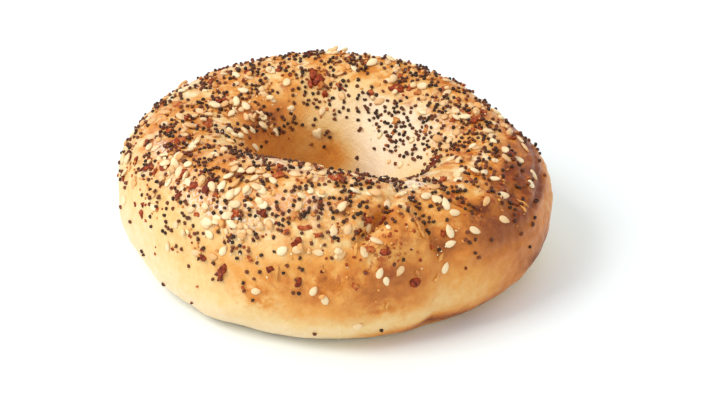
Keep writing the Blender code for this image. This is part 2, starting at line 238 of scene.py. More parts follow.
# Onion flakes that stand out: (ring, tube, length and width in mm, turn, from 0 dark red to 1 amber)
LARGE_FLAKES = (
    (96, 118, 4.2, 2.6, 20, 0.20), (98, 112, 3.0, 2.0, 70, 0.25), (94, 124, 2.6, 1.8, 40, 0.60),
    (100, 121, 2.2, 1.4, 90, 0.35), (53, 114, 5.0, 2.2, 10, 0.25), (350, 123, 4.6, 2.0, -25, 0.12),
    (40, 133, 2.6, 2.0, 60, 0.75), (240, 9.5, 5.4, 2.4, 60, 0.22), (295, 9, 3.3, 3.1, 30, 0.10),
    (262, 37, 3.0, 2.0, 50, 0.15), (255, 19, 2.2, 1.7, 0, 0.05), (263, 13, 2.5, 1.6, 70, 0.15),
    (242, 48, 3.0, 2.2, 15, 0.30), (250, 52, 3.0, 2.0, -30, 0.10), (268, 43.5, 2.6, 1.4, 15, 0.45),
    (264, 47, 3.6, 1.2, 5, 0.30), (233, 13, 2.4, 1.8, 60, 0.15), (275, 93, 5.2, 2.2, 5, 0.35),
    (228, 62, 5.0, 2.4, 80, 0.12), (203, 60, 3.4, 2.6, 40, 0.30), (345, 98, 3.0, 2.4, 20, 0.70),
    (92, 132, 2.6, 1.8, 80, 0.20), (336, 84, 4.6, 2.0, 60, 0.60), (299, 46, 5.2, 1.4, 98, 0.80),
    (171, 101, 3.6, 2.4, 50, 0.35), (238, 84, 4.0, 2.4, 10, 0.15), (158, 78, 3.6, 2.8, 30, 0.55),
    # Amber slivers on the front and by the seam
    (279, 34, 3.6, 0.9, 70, 0.95), (257, 18, 4.0, 0.8, 82, 0.9), (249, 22, 3.4, 1.0, 5, 0.85),
    (338, 38, 4.0, 0.7, 95, 1.0), (336, 33, 2.8, 0.7, 60, 1.0), (304, 22, 2.8, 1.0, 40, 1.0),
    (302, 8, 3.0, 1.1, 30, 0.95), (287, -2, 2.6, 1.0, 70, 0.9), (213, 62, 4.0, 2.6, 60, 0.20),
    (222, 58, 3.4, 2.2, 20, 0.15), (191, 82, 3.6, 2.2, 40, 0.35), (250, 86, 3.6, 2.0, 20, 0.40),
    (322, 92, 3.4, 1.8, 10, 0.35), (14, 92, 3.2, 2.0, 50, 0.3),
)

# Bits of garlic that stand out: (ring, tube, length in mm, from 0 pale to 1 golden)
LARGE_GARLIC = (
    (81.5, 132, 2.8, 0.55), (12, 165, 4.0, 0.35), (44, 146, 2.2, 0.15), (150, 112, 2.6, 0.45),
    (141, 140, 3.0, 0.25), (197, 68, 3.0, 0.10), (207, 66, 3.6, 0.05), (216, 62, 3.2, 0.05),
    (128, 115, 2.8, 0.5), (112, 112, 3.0, 0.3), (21, 84, 2.6, 0.9), (30, 118, 2.4, 0.1),
    (318, 100, 3.0, 0.2), (329, 90, 3.4, 0.25), (248, 60, 2.6, 0.2), (262, 70, 2.8, 0.3),
    # Caught on the upper left wall of the hole
    (125, 124, 2.5, 0.2), (153, 136, 2.8, 0.1), (132, 153, 2.6, 0.15), (99, 163, 3.2, 0.15),
    (149, 123, 2.4, 0.4), (138, 134, 2.5, 0.25), (115, 139, 2.2, 0.2), (144, 128, 2.2, 0.5),
    (160, 130, 2.8, 0.3), (84, 112, 2.6, 0.7), (145, 107, 3.0, 0.15), (133, 91, 2.6, 0.3),
)

# Radius of the dough's section, and of the ring where seeds lie outside and inside its top line
TUBE_RADIUS, OUTER_RADIUS, INNER_RADIUS = 0.017, 0.045, 0.030
# Toppings lie no lower than this, and touch at this share of their reaches' sum
LOWEST_TOPPING = 0.0009
TOUCH_SHARE = 0.94
# Size of the stretches that caught more or fewer toppings
STRETCH_SIZE = 0.0065


def linear(hex_colour):
    """An sRGB hex colour as the linear numbers that shaders read."""
    parts = [int(hex_colour[at : at + 2], 16) / 255 for at in (1, 3, 5)]
    return tuple(p / 12.92 if p <= 0.04045 else ((p + 0.055) / 1.055) ** 2.4 for p in parts)


def colour_setting(name, description, hex_colour):
    return bpy.props.FloatVectorProperty(
        name=name, description=description, subtype="COLOR", size=3, min=0, max=1,
        default=linear(hex_colour),
    )


def count_setting(name, description, default):
    return bpy.props.IntProperty(name=name, description=description, min=0, default=default)


def length_setting(name, description, default):
    return bpy.props.FloatProperty(
        name=name, description=description, unit="LENGTH", min=0, precision=5, default=default
    )


class BagelDough(bpy.types.PropertyGroup):
    """The ring of dough and how it took the oven."""

    outside_radius: length_setting("Outside radius", "Mean radius of the ring's outside", 0.0511)
    top_line_radius: length_setting("Top line radius", "Mean radius of the ring's highest line", 0.0352)
    hole_radius: length_setting("Hole radius", "Mean radius of the hole at its narrowest", 0.0154)
    top_height: length_setting("Top height", "Mean height of the ring's top", 0.0346)
    seam_depth: length_setting("Seam depth", "Depth of the groove and the crease at the seam", 0.0013)
    dimple_size: length_setting("Dimple size", "Distance between the soft dimples of the skin", 0.0052)
    dimple_depth: length_setting("Dimple depth", "Depth of the soft dimples", 0.0009)
    wrinkle_length: length_setting("Wrinkle length", "Length of a wrinkle along the ring", 0.0150)
    wrinkle_width: length_setting("Wrinkle width", "Distance from wrinkle to wrinkle", 0.0021)
    wrinkle_height: length_setting("Wrinkle height", "Height of a wrinkle", 0.00095)
    blister_size: length_setting("Blister size", "Distance between the small blisters", 0.0014)
    blister_height: length_setting("Blister height", "Height of a blister", 0.0006)
    cream: colour_setting("Cream", "Crust that stayed pale, low on the sides and in the hole", "#F5DFBC")
    straw: colour_setting("Straw", "Crust that took a little colour", "#EBC685")
    golden: colour_setting("Golden", "Crust of the open top", "#E09C4A")
    toasted: colour_setting("Toasted", "Crust of the front and the right", "#CB792E")
    brown: colour_setting("Brown", "Crust that took the most heat", "#7F380C")
    amber: colour_setting("Amber", "Spots where the glaze caught", "#CF7A1C")
    rust: colour_setting("Rust", "Stains that the onion left", "#A84A1C")
    flour: colour_setting("Flour", "Dry powder stuck to the skin", "#F6EADB")


class BagelToppings(bpy.types.PropertyGroup):
    """Sizes, numbers and colours of what is sprinkled on."""

    poppy_size: length_setting("Poppy size", "Length of a poppy seed", 0.00110)
    poppy_count: count_setting("Poppy count", "Poppy seeds in all", 1620)
    poppy_dark: colour_setting("Poppy dark", "The darkest seeds", "#3B261B")
    poppy_light: colour_setting("Poppy light", "The browner seeds", "#804428")
    sesame_length: length_setting("Sesame length", "Length of a sesame seed", 0.0032)
    sesame_width: length_setting("Sesame width", "Width of a sesame seed", 0.0021)
    sesame_thickness: length_setting("Sesame thickness", "Thickness of a sesame seed", 0.00095)
    sesame_count: count_setting("Sesame count", "Sesame seeds in all", 220)
    sesame_pale: colour_setting("Sesame pale", "The ivory seeds", "#F3DDB0")
    sesame_toasted: colour_setting("Sesame toasted", "The toasted seeds", "#DFA867")
    flake_length: length_setting("Flake length", "Mean length of an onion flake", 0.0025)
    flake_count: count_setting("Flake count", "Onion flakes beside the large ones", 150)
    crumb_count: count_setting("Crumb count", "Crumbs of onion, about a millimetre", 800)
    onion_dark: colour_setting("Onion dark", "Flakes that caught in the oven", "#5C1B0A")
    onion_red: colour_setting("Onion red", "Most flakes", "#A8431A")
    onion_amber: colour_setting("Onion amber", "Flakes that stayed pale", "#E2A254")
    garlic_size: length_setting("Garlic size", "Mean length of a bit of garlic", 0.0019)
    garlic_count: count_setting("Garlic count", "Bits of garlic beside the large ones", 120)
    granule_count: count_setting("Granule count", "Granules of garlic, under a millimetre", 650)
    garlic_pale: colour_setting("Garlic pale", "Bits that stayed pale", "#F7E4B4")
    garlic_golden: colour_setting("Garlic golden", "Bits that took colour", "#E39A45")
    salt_size: length_setting("Salt size", "Mean length of a grain of salt", 0.00040)
    salt_count: count_setting("Salt count", "Grains of salt", 150)
    salt_white: colour_setting("Salt white", "The grains", "#F6EAD6")


class BagelStage(bpy.types.PropertyGroup):
    """The floor, the light and the camera."""

    floor_size: length_setting("Floor size", "Side of the square floor", 6.0)
    floor_white: colour_setting("Floor white", "Matte white table", "#F3FAFB")
    key_power: bpy.props.FloatProperty(
        name="Key power", description="Power of the lamp on the left", unit="POWER", min=0, default=3.1
    )
    key_side: length_setting("Key side", "Side of the square lamp", 0.35)
    room_strength: bpy.props.FloatProperty(
        name="Room strength", description="Strength of the room's even white light", min=0, default=0.88
    )
    camera_distance: length_setting("Camera distance", "From the lens to what it is aimed at", 0.622)
    camera_elevation: bpy.props.FloatProperty(
        name="Camera elevation",
        description="Height of the camera above the horizon",
        subtype="ANGLE",
        default=math.radians(31.0),
    )
    lens: bpy.props.FloatProperty(
        name="Lens", description="Focal length in mm on a 36 mm frame", min=1, default=123.75
    )


CAMERA_AIM = Vector((0.0068, 0.0004, 0.0138))
KEY_PLACE = Vector((-0.45, -0.20, 0.60))
KEY_AIM = Vector((0.0, 0.0, 0.02))


def ramp(value, start, end):
    """Rises smoothly from 0 at start to 1 at end."""
    share = np.clip((value - start) / (end - start), 0.0, 1.0)
    return share * share * (3 - 2 * share)


def hump(value, reach):
    """1 at 0, falling away on both sides within about twice the reach."""
    return np.exp(-((value / reach) ** 2))


def turned(angle, other=0.0):
    """The way from other to angle, in degrees from -180 to 180."""
    return (angle - other + 180) % 360 - 180


def patches(ring, tube, rows):
    """The sum of soft oval patches: (ring, tube, ring reach, tube reach, how much)."""
    return sum(
        much * hump(turned(ring, at_ring), ring_reach) * hump(turned(tube, at_tube), tube_reach)
        for at_ring, at_tube, ring_reach, tube_reach, much in rows
    )


def waved(ring, mean, waves):
    """The mean with waves round the ring."""
    angle = np.radians(ring)
    return mean + sum(c * np.cos(k * angle) + s * np.sin(k * angle) for k, c, s in waves)


def noise_over(points, size):
    """Smooth noise from -1 to 1 at each point, its lumps about this size."""
    return np.array([noise.noise(Vector(point) / size) for point in points])


def seam_relief(ring, tube, depth):
    """How far the dough stands out round its seam: a groove down the outside and a crease over the top."""
    groove_ring = SEAM_RING + SEAM_SWAY * np.sin(np.radians(2.6 * tube))
    groove = hump(turned(ring, groove_ring), SEAM_HALF_WIDTH)
    groove = groove * ramp(tube, -75, -35) * (1 - ramp(tube, 62, 95))
    crease_ring = CREASE_RING + CREASE_SLANT * (tube - CREASE_TUBE)
    crease = hump(turned(ring, crease_ring), CREASE_HALF_WIDTH)
    crease = crease * ramp(tube, 30, 48) * (1 - ramp(tube, 100, 135))
    return patches(ring, tube, SWELLINGS) - depth * (groove + crease)


def crust_points(ring, tube, dough):
    """Places on the risen dough for arrays of the two angles, one row for each."""
    ring, tube = np.broadcast_arrays(np.asarray(ring, float), turned(np.asarray(tube, float)))
    outside = waved(ring, dough.outside_radius, OUTSIDE_WAVES)
    top_line = waved(ring, dough.top_line_radius, TOP_LINE_WAVES)
    hole = waved(ring, dough.hole_radius, HOLE_WAVES)
    top = waved(ring, dough.top_height, HEIGHT_WAVES)
    power_in_hole = waved(ring, UPPER_POWER_IN_HOLE, UPPER_POWER_WAVES)
    across, up = np.cos(np.radians(tube)), np.sin(np.radians(tube))
    outward = (1 + across) / 2
    widest = NARROWEST_HEIGHT_IN_HOLE + (WIDEST_HEIGHT_OUTSIDE - NARROWEST_HEIGHT_IN_HOLE) * outward
    upper = up >= 0
    power = np.where(upper, power_in_hole + (UPPER_POWER_OUTSIDE - power_in_hole) * outward, LOWER_POWER)
    bend = np.abs(up) ** (2 / power)
    height = np.where(upper, widest + (top - widest) * bend, widest - (widest + BASE_PRESSED_FLAT) * bend)
    height = np.maximum(height, 0.0)
    reach = np.where(across >= 0, outside, hole) - top_line
    radius = top_line + reach * np.abs(across) ** (2 / power)
    east, north = np.cos(np.radians(ring)), np.sin(np.radians(ring))
    bare = np.stack((east * radius, north * radius, height), axis=-1)
    rise = RISE_HEIGHT * noise_over(bare.reshape(-1, 3), RISE_SIZE).reshape(ring.shape)
    stands_out = seam_relief(ring, tube, dough.seam_depth) + rise
    radius = radius + stands_out * across
    height = height + stands_out * up * ramp(height, 0, FREE_SKIN)
    place = (east * radius - BOX_MIDDLE[0], north * radius - BOX_MIDDLE[1], np.maximum(height, 0.0))
    return np.stack(place, axis=-1)


def crust_stretch(ring, tube, dough):
    """Area of crust for each square degree, in cm2, to spread things by area and not by angle."""
    here = crust_points(ring, tube, dough)
    along = crust_points(ring + 1, tube, dough) - here
    over = crust_points(ring, tube + 1, dough) - here
    return np.linalg.norm(np.cross(along, over), axis=-1) * 1e4


def fill(tree, node, inputs):
    """Sets a node's inputs, found by name or place. Each gets a value, the socket that feeds it or the
    node whose first output does."""
    for name, value in inputs.items():
        if isinstance(value, bpy.types.Node):
            value = next(socket for socket in value.outputs if socket.enabled)
        if isinstance(value, bpy.types.NodeSocket):
            tree.links.new(value, node.inputs[name])
        elif node.inputs[name].type == "RGBA":
            node.inputs[name].default_value = (*value, 1)
        else:
            node.inputs[name].default_value = value


def add_node(tree, kind, inputs=None, stops=(), **settings):
    """Adds one node with its settings and inputs. Stops are a colour ramp's places and colours."""
    made = tree.nodes.new(kind)
    for name, value in settings.items():
        setattr(made, name, value)
    fill(tree, made, inputs or {})
    for place, _ in stops[2:]:
        made.color_ramp.elements.new(place)
    for element, (place, colour) in zip(made.color_ramp.elements if stops else (), stops):
        element.position = place
        element.color = (*colour, 1)
    return made


def new_material(name):
    """A material whose nodes start from one Principled shader, with its tree and that shader."""
    made = bpy.data.materials.new(name)
    made.use_nodes = True
    return made, made.node_tree, made.node_tree.nodes["Principled BSDF"]


def crust_material(dough):
    """Boiled and baked wheat dough: boiling set a thin glossy skin, baking took it from cream to brown."""
    made, tree, shader = new_material("boiled_and_baked_dough")
    place = add_node(tree, "ShaderNodeTexCoord").outputs["Object"]
    bake, glaze, flour = (
        add_node(tree, "ShaderNodeAttribute", attribute_name=name).outputs["Fac"]
        for name in ("bake", "glaze", "flour")
    )
    # Uneven browning in clouds of 6 mm, mottled at 2 mm and speckled at 0.7 mm: (size, detail, amount)
    layers = ((0.0060, 3.0, 0.9), (0.0021, 3.0, 0.7), (0.0007, 2.0, 0.26))
    taken = -sum(amount for _, _, amount in layers) / 2
    noises = []
    for size, detail, amount in layers:
        layer = add_node(tree, "ShaderNodeTexNoise", {"Vector": place, "Scale": 1 / size, "Detail": detail})
        taken = {0: layer, 1: amount, 2: taken}
        taken = add_node(tree, "ShaderNodeMath", taken, operation="MULTIPLY_ADD")
        noises.append(layer)
    _, mottle, speckle = noises
    # The smooth side takes the unevenness more weakly than the glazed top
    strength = add_node(tree, "ShaderNodeMapRange", {"Value": glaze, "From Max": 0.45, "To Min": 0.3})
    taken = {0: taken, 1: strength, 2: bake}
    taken = add_node(tree, "ShaderNodeMath", taken, operation="MULTIPLY_ADD", use_clamp=True)
    # The bake runs the ramp from cream to brown, so the painted shade and painted light laid into it come
    # out here as colour
    tones = (
        (0, dough.cream), (0.3, dough.straw), (0.52, dough.golden), (0.70, dough.toasted), (1, dough.brown),
    )
    colour = add_node(tree, "ShaderNodeValToRGB", {"Fac": taken}, stops=tones)
    # The glaze gathers in spots of 1.5 mm, and its amber also makes the painted highlight on the right
    # cheek's ridge; onion bled rusty stains 2 mm across, and last, flour and garlic powder stuck in grains
    # of 0.4 mm
    for size, detail, rough, start, end, most, where, paint in (
        (0.0030, 2.0, 0.5, 0.46, 0.64, 1.0, glaze, dough.amber),
        (0.0044, 3.0, 0.7, 0.57, 0.68, 1.9, glaze, dough.rust),
        (0.0008, 1.0, 0.5, 0.42, 0.60, 1.0, flour, dough.flour),
    ):
        spots = {"Vector": place, "Scale": 1 / size, "Detail": detail, "Roughness": rough}
        spots = add_node(tree, "ShaderNodeTexNoise", spots)
        spots = {"Value": spots, "From Min": start, "From Max": end, "To Max": most}
        spots = add_node(tree, "ShaderNodeMapRange", spots)
        laid = add_node(tree, "ShaderNodeMath", {0: spots, 1: where}, operation="MULTIPLY", use_clamp=True)
        colour = add_node(tree, "ShaderNodeMix", {0: laid, 6: colour, 7: paint}, data_type="RGBA")
    # Soft pits of 1.8 mm and pores of 0.7 mm in the skin, and the grain of the powder that was laid last
    pits = add_node(tree, "ShaderNodeTexNoise", {"Vector": place, "Scale": 1 / 0.0018, "Detail": 2.0})
    skin = {}
    for height, depth, strength in ((pits, 0.00035, 0.6), (speckle, 0.00026, 0.7), (laid, 0.00025, 0.8)):
        bump = {"Height": height, "Distance": depth, "Strength": strength, **skin}
        skin = {"Normal": add_node(tree, "ShaderNodeBump", bump)}
    # Gloss varies with the mottling, and is highest where the glaze lies
    gloss = {"Value": mottle, "From Min": 0.3, "From Max": 0.7, "To Min": 0.30, "To Max": 0.50}
    gloss = {0: glaze, 1: -0.14, 2: add_node(tree, "ShaderNodeMapRange", gloss)}
    gloss = add_node(tree, "ShaderNodeMath", gloss, operation="MULTIPLY_ADD", use_clamp=True)
    fill(tree, shader, {"Base Color": colour, "Roughness": gloss, **skin})
    fill(tree, shader, {"IOR": 1.45, "Specular IOR Level": 0.36})
    return made


def toasted_shade(tree, place, size, detail, amount, more=None):
    """How toasted a bit is, from 0 to 1: its own shade and something more, uneven in patches of this size.
    Returns that and the patches."""
    shade = add_node(tree, "ShaderNodeAttribute", attribute_name="shade").outputs["Fac"]
    if more:
        shade = add_node(tree, "ShaderNodeMath", {0: shade, 1: more}, operation="ADD")
    patchy = add_node(tree, "ShaderNodeTexNoise", {"Vector": place, "Scale": 1 / size, "Detail": detail})
    uneven = {0: patchy, 1: amount, 2: -amount / 2}
    uneven = add_node(tree, "ShaderNodeMath", uneven, operation="MULTIPLY_ADD")
    return add_node(tree, "ShaderNodeMath", {0: shade, 1: uneven}, operation="ADD", use_clamp=True), patchy


def poppy_material(toppings):
    """Poppy seed: a hard brown-black coat, dulled by its net of ridges, with a small highlight."""
    made, tree, shader = new_material("dry_poppy_seed_coat")
    shade = add_node(tree, "ShaderNodeAttribute", attribute_name="shade").outputs["Fac"]
    place = add_node(tree, "ShaderNodeTexCoord").outputs["Object"]
    tones = ((0.2, toppings.poppy_dark), (1.0, toppings.poppy_light))
    colour = add_node(tree, "ShaderNodeValToRGB", {"Fac": shade}, stops=tones)
    # The net's real mesh is 0.12 mm, drawn here at 0.25 mm so that it shows
    net = add_node(tree, "ShaderNodeTexVoronoi", {"Vector": place, "Scale": 1 / 0.00025}, feature="F1")
    ridged = add_node(tree, "ShaderNodeBump", {"Height": net, "Distance": 0.00006, "Strength": 0.6})
    fill(tree, shader, {"Base Color": colour, "Normal": ridged})
    fill(tree, shader, {"Roughness": 0.5, "IOR": 1.4, "Specular IOR Level": 0.35})
    return made


def sesame_material(toppings):
    """Hulled sesame: a satin, oily ivory kernel, toasted more on some seeds and at the point."""
    made, tree, shader = new_material("hulled_toasted_sesame")
    along = add_node(tree, "ShaderNodeAttribute", attribute_name="along").outputs["Fac"]
    place = add_node(tree, "ShaderNodeTexCoord").outputs["Object"]
    tip = add_node(tree, "ShaderNodeMapRange", {"Value": along, "From Min": 0.62, "To Max": 0.45})
    toasted, _ = toasted_shade(tree, place, 0.0014, 2.0, 0.5, tip)
    tones = ((0.1, toppings.sesame_pale), (1.0, toppings.sesame_toasted))
    colour = add_node(tree, "ShaderNodeValToRGB", {"Fac": toasted}, stops=tones)
    fill(tree, shader, {"Base Color": colour, "Roughness": 0.38, "IOR": 1.47})
    return made


def onion_material(toppings):
    """Dried onion, toasted: thin and ribbed, from pale amber to a deep glossy red-brown."""
    made, tree, shader = new_material("toasted_dried_onion")
    place = add_node(tree, "ShaderNodeTexCoord").outputs["Object"]
    toasted, _ = toasted_shade(tree, place, 0.0009, 3.0, 1.1)
    tones = ((0.0, toppings.onion_dark), (0.35, toppings.onion_red), (0.9, toppings.onion_amber))
    colour = add_node(tree, "ShaderNodeValToRGB", {"Fac": toasted}, stops=tones)
    ribs = add_node(tree, "ShaderNodeTexNoise", {"Vector": place, "Scale": 1 / 0.0005, "Detail": 1.0})
    ribbed = add_node(tree, "ShaderNodeBump", {"Height": ribs, "Distance": 0.00012, "Strength": 0.7})
    fill(tree, shader, {"Base Color": colour, "Normal": ribbed})
    fill(tree, shader, {"Roughness": 0.48, "IOR": 1.5, "Specular IOR Level": 0.22})
    return made


def garlic_material(toppings):
    """Dried garlic: a chalky, slightly waxy bit, pale where it stayed cool and golden at the edges."""
    made, tree, shader = new_material("dried_minced_garlic")
    place = add_node(tree, "ShaderNodeTexCoord").outputs["Object"]
    toasted, patchy = toasted_shade(tree, place, 0.0009, 3.0, 0.5)
    tones = ((0.0, toppings.garlic_pale), (1.0, toppings.garlic_golden))
    colour = add_node(tree, "ShaderNodeValToRGB", {"Fac": toasted}, stops=tones)
    chalk = add_node(tree, "ShaderNodeBump", {"Height": patchy, "Distance": 0.00015, "Strength": 0.6})
    fill(tree, shader, {"Base Color": colour, "Normal": chalk, "Roughness": 0.55, "IOR": 1.48})
    return made


def salt_material(toppings):
    """Salt: broken crystals that pass some light and glint on their flat sides."""
    made, tree, shader = new_material("coarse_salt_crystal")
    fill(tree, shader, {"Base Color": toppings.salt_white, "Roughness": 0.22, "IOR": 1.544})
    fill(tree, shader, {"Transmission Weight": 0.35})
    return made


def add_inputs(tree, **kinds):
    """Gives a tree its geometry in and out and named inputs, listed under their sockets' kind. Returns what
    they give."""
    tree.interface.new_socket("Geometry", in_out="INPUT", socket_type="NodeSocketGeometry")
    tree.interface.new_socket("Geometry", in_out="OUTPUT", socket_type="NodeSocketGeometry")
    for kind, names in kinds.items():
        for name in names:
            tree.interface.new_socket(name, in_out="INPUT", socket_type="NodeSocket" + kind)
    return tree.nodes.new("NodeGroupInput").outputs


def put(name, data):
    """A new object of this data, placed in the scene."""
    made = bpy.data.objects.new(name, data)
    bpy.context.scene.collection.objects.link(made)
    return made


def make_plain(thing, tree, values, name):
    """Runs the tree on the thing with these inputs, and keeps what comes out as a plain mesh object."""
    modifier = thing.modifiers.new(tree.name, "NODES")
    modifier.node_group = tree
    for item in tree.interface.items_tree:
        if item.item_type == "SOCKET" and item.in_out == "INPUT" and item.name in values:
            modifier[item.identifier] = values[item.name]
    bpy.context.view_layer.update()
    ready = thing.evaluated_get(bpy.context.evaluated_depsgraph_get())
    data = bpy.data.meshes.new_from_object(ready)
    # The shapes had no material before the tree set one, which leaves an empty slot in front
    while data.materials[0] is None:
        data.materials.pop(index=0)
    data.name = name
    thing.modifiers.remove(modifier)
    rough = thing.data
    bpy.data.objects.remove(thing)
    bpy.data.meshes.remove(rough)
    bpy.data.node_groups.remove(tree)
    return put(name, data)


def stand_for_bagel(piece):
    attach(piece, "root")
    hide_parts("bagel")


def float_attribute(mesh, name, values, kind="FLOAT"):
    made = mesh.attributes.new(name, kind, "POINT")
    made.data.foreach_set("value" if kind == "FLOAT" else "vector", np.asarray(values, np.float32).ravel())


def rough_crust(dough):
    """The risen dough before its skin sets: a closed grid of sections, marked with what the oven did and
    with painted shade and painted light.
    """
    ring = np.arange(CRUST_SECTIONS) * 360 / CRUST_SECTIONS
    tube = -180 + np.arange(CRUST_STEPS) * 360 / CRUST_STEPS
    ring, tube = (grid.ravel() for grid in np.meshgrid(ring, tube, indexing="ij"))
    points = crust_points(ring, tube, dough)
    around, over = np.radians(ring), np.radians(tube)
    away = (np.cos(around) * np.cos(over), np.sin(around) * np.cos(over), np.sin(over))
    points = points + np.stack(away, axis=-1) * folded(ring, tube)[:, None]
    points[:, 2] = np.maximum(points[:, 2], 0.0)
    index = np.arange(CRUST_SECTIONS * CRUST_STEPS).reshape(CRUST_SECTIONS, CRUST_STEPS)
    next_section, next_step = np.roll(index, -1, axis=0), np.roll(index, -1, axis=1)
    corner = np.roll(next_section, -1, axis=1)
    faces = np.stack((index, next_section, corner, next_step), axis=-1).reshape(-1, 4)
    data = bpy.data.meshes.new("rough crust")
    data.from_pydata(points.tolist(), [], faces.tolist())
    # The skin rolled off the dough onto a tall hoop, so that a wrinkle keeps its width round the section
    hoop, arc = dough.outside_radius, over * (dough.outside_radius - dough.hole_radius) / 2
    unrolled = np.stack((np.cos(around) * hoop, np.sin(around) * hoop, arc), axis=-1)
    float_attribute(data, "unrolled", unrolled, "FLOAT_VECTOR")
    float_attribute(data, "off_base", ramp(points[:, 2], BASE_EDGE, FREE_SKIN))
    for name, mark in (
        ("wrinkled", wrinkled), ("blistered", blistered),
        ("bake", baked_and_painted_shading), ("glaze", glazed_and_highlit), ("flour", floured),
    ):
        float_attribute(data, name, mark(ring, tube))
    return put("rough crust", data)


def folded(ring, tube):
    """How far the folds stand out, in metres: straight ridges and valleys that fade at their ends."""
    height = np.zeros(ring.shape)
    for at_ring, at_tube, turn, half_length, half_width, rise in FOLDS:
        across = turned(ring, at_ring) * MM_PER_RING_DEGREE
        up = turned(tube, at_tube) * MM_PER_TUBE_DEGREE
        lying = math.radians(turn)
        along = across * math.cos(lying) + up * math.sin(lying)
        aside = up * math.cos(lying) - across * math.sin(lying)
        height += rise * MM * np.exp(-((along / half_length) ** 4)) * hump(aside, half_width)
    return height + patches(ring, tube, [HOLE_BULGE])


def wrinkled(ring, tube):
    """Where the skin shrank into wrinkles that run round the ring: the right side."""
    return hump(turned(ring, 352), 24) * ramp(tube, -15, 12) * (1 - ramp(tube, 70, 92))


def blistered(ring, tube):
    """Where the skin rose in small blisters."""
    return np.clip(patches(ring, tube, BLISTER_PATCHES), 0, 1)


def baked_and_painted_shading(ring, tube):
    """How far the oven took the crust, from 0, pale, through 0.5, golden, to 1, brown, with painted shade
    laid in as more bake and painted light as less.
    """
    # Angles past the wall of the hole run on under it, so the hole's low wall keeps the top's golden bake,
    # as painted shade where the hole lies in shadow
    tube = turned(tube, 90) + 90
    open_top = 0.28 * ramp(tube, -48, 12) + 0.24 * ramp(tube, 25, 85)
    # The right slope of the hole, which faces the lamp, is paler: partly the pale crust inside a hole,
    # partly painted light
    right_of_hole = 0.5 + 0.5 * np.cos(np.radians(np.clip(turned(ring, 38) * 1.7, -180, 180)))
    pale_painted_lit_slope = 0.55 * ramp(tube, 104, 135) * right_of_hole
    return np.clip(0.03 + open_top - pale_painted_lit_slope + patches(ring, tube, BAKE_AND_PAINTED_SHADING_PATCHES), 0, 1)


def glazed_and_highlit(ring, tube):
    """Where the glaze gathered and caught, and where amber lies along the right cheek's ridge as a painted
    highlight.
    """
    tube = turned(tube)
    everywhere = 0.45 * ramp(tube, 25, 60) * (1 - ramp(tube, 108, 135))
    return np.clip(everywhere + patches(ring, tube, GLAZE_AND_HIGHLIGHT_PATCHES), 0, 1)


def floured(ring, tube):
    """Where dry powder stuck."""
    return np.clip(patches(ring, turned(tube), FLOUR_PATCHES), 0, 1)


def skin_tree():
    """Geometry nodes that set the skin: dimples everywhere, wrinkles and blisters where they are marked."""
    tree = bpy.data.node_groups.new("set the skin", "GeometryNodeTree")
    given = add_inputs(
        tree,
        Float=(
            "Dimple Size", "Dimple Depth", "Wrinkle Length", "Wrinkle Width", "Wrinkle Height",
            "Blister Size", "Blister Height",
        ),
        Material=("Finish",),
    )
    place = add_node(tree, "GeometryNodeInputPosition")
    marks = {
        name: add_node(tree, "GeometryNodeInputNamedAttribute", {"Name": name}, data_type=kind)
        for name, kind in (
            ("unrolled", "FLOAT_VECTOR"), ("wrinkled", "FLOAT"),
            ("blistered", "FLOAT"), ("off_base", "FLOAT"),
        )
    }
    # Each of the three is a noise, centred or cut down to its crests
    scale = add_node(tree, "ShaderNodeMath", {0: 1.0, 1: given["Dimple Size"]}, operation="DIVIDE")
    dimple = add_node(tree, "ShaderNodeTexNoise", {"Vector": place, "Scale": scale, "Detail": 1.5})
    dimple = add_node(tree, "ShaderNodeMath", {0: dimple, 1: 0.5}, operation="SUBTRACT")
    cell = {0: given["Wrinkle Length"], 1: given["Wrinkle Length"], 2: given["Wrinkle Width"]}
    cell = add_node(tree, "ShaderNodeCombineXYZ", cell)
    shrunk = add_node(tree, "ShaderNodeVectorMath", {0: marks["unrolled"], 1: cell}, operation="DIVIDE")
    wrinkle = {"Vector": shrunk, "Scale": 1.0, "Detail": 2.0, "Distortion": 0.4}
    wrinkle = {0: add_node(tree, "ShaderNodeTexNoise", wrinkle), 1: 2.4, 2: -1.2}
    wrinkle = add_node(tree, "ShaderNodeMath", wrinkle, operation="MULTIPLY_ADD")
    scale = add_node(tree, "ShaderNodeMath", {0: 1.0, 1: given["Blister Size"]}, operation="DIVIDE")
    blister = add_node(tree, "ShaderNodeTexNoise", {"Vector": place, "Scale": scale, "Detail": 0.0})
    blister = add_node(tree, "ShaderNodeMapRange", {"Value": blister, "From Min": 0.47, "From Max": 0.72})
    # Each is raised to its height, where it is marked, and they are added up
    height = 0.0
    for layer, most, where in (
        (dimple, given["Dimple Depth"], 1.0),
        (wrinkle, given["Wrinkle Height"], marks["wrinkled"]),
        (blister, given["Blister Height"], marks["blistered"]),
    ):
        layer = add_node(tree, "ShaderNodeMath", {0: layer, 1: most}, operation="MULTIPLY")
        height = {0: layer, 1: where, 2: height}
        height = add_node(tree, "ShaderNodeMath", height, operation="MULTIPLY_ADD")
    height = add_node(tree, "ShaderNodeMath", {0: height, 1: marks["off_base"]}, operation="MULTIPLY")
    out = add_node(tree, "GeometryNodeInputNormal")
    moved = add_node(tree, "ShaderNodeVectorMath", {0: out, "Scale": height}, operation="SCALE")
    skin = add_node(tree, "GeometryNodeSetPosition", {"Geometry": given["Geometry"], "Offset": moved})
    smooth = add_node(tree, "GeometryNodeSetShadeSmooth", {"Geometry": skin, "Shade Smooth": True})
    real = add_node(tree, "GeometryNodeRealizeInstances", {"Geometry": smooth})
    done = add_node(tree, "GeometryNodeSetMaterial", {"Geometry": real, "Material": given["Finish"]})
    add_node(tree, "NodeGroupOutput", {"Geometry": done})
    return tree


def beside(ring, tube, radius, aside, above):
    """The angles of a place this far along the ring, of this radius, and up the section from another."""
    return ring + math.degrees(aside / radius), tube + math.degrees(above / TUBE_RADIUS)


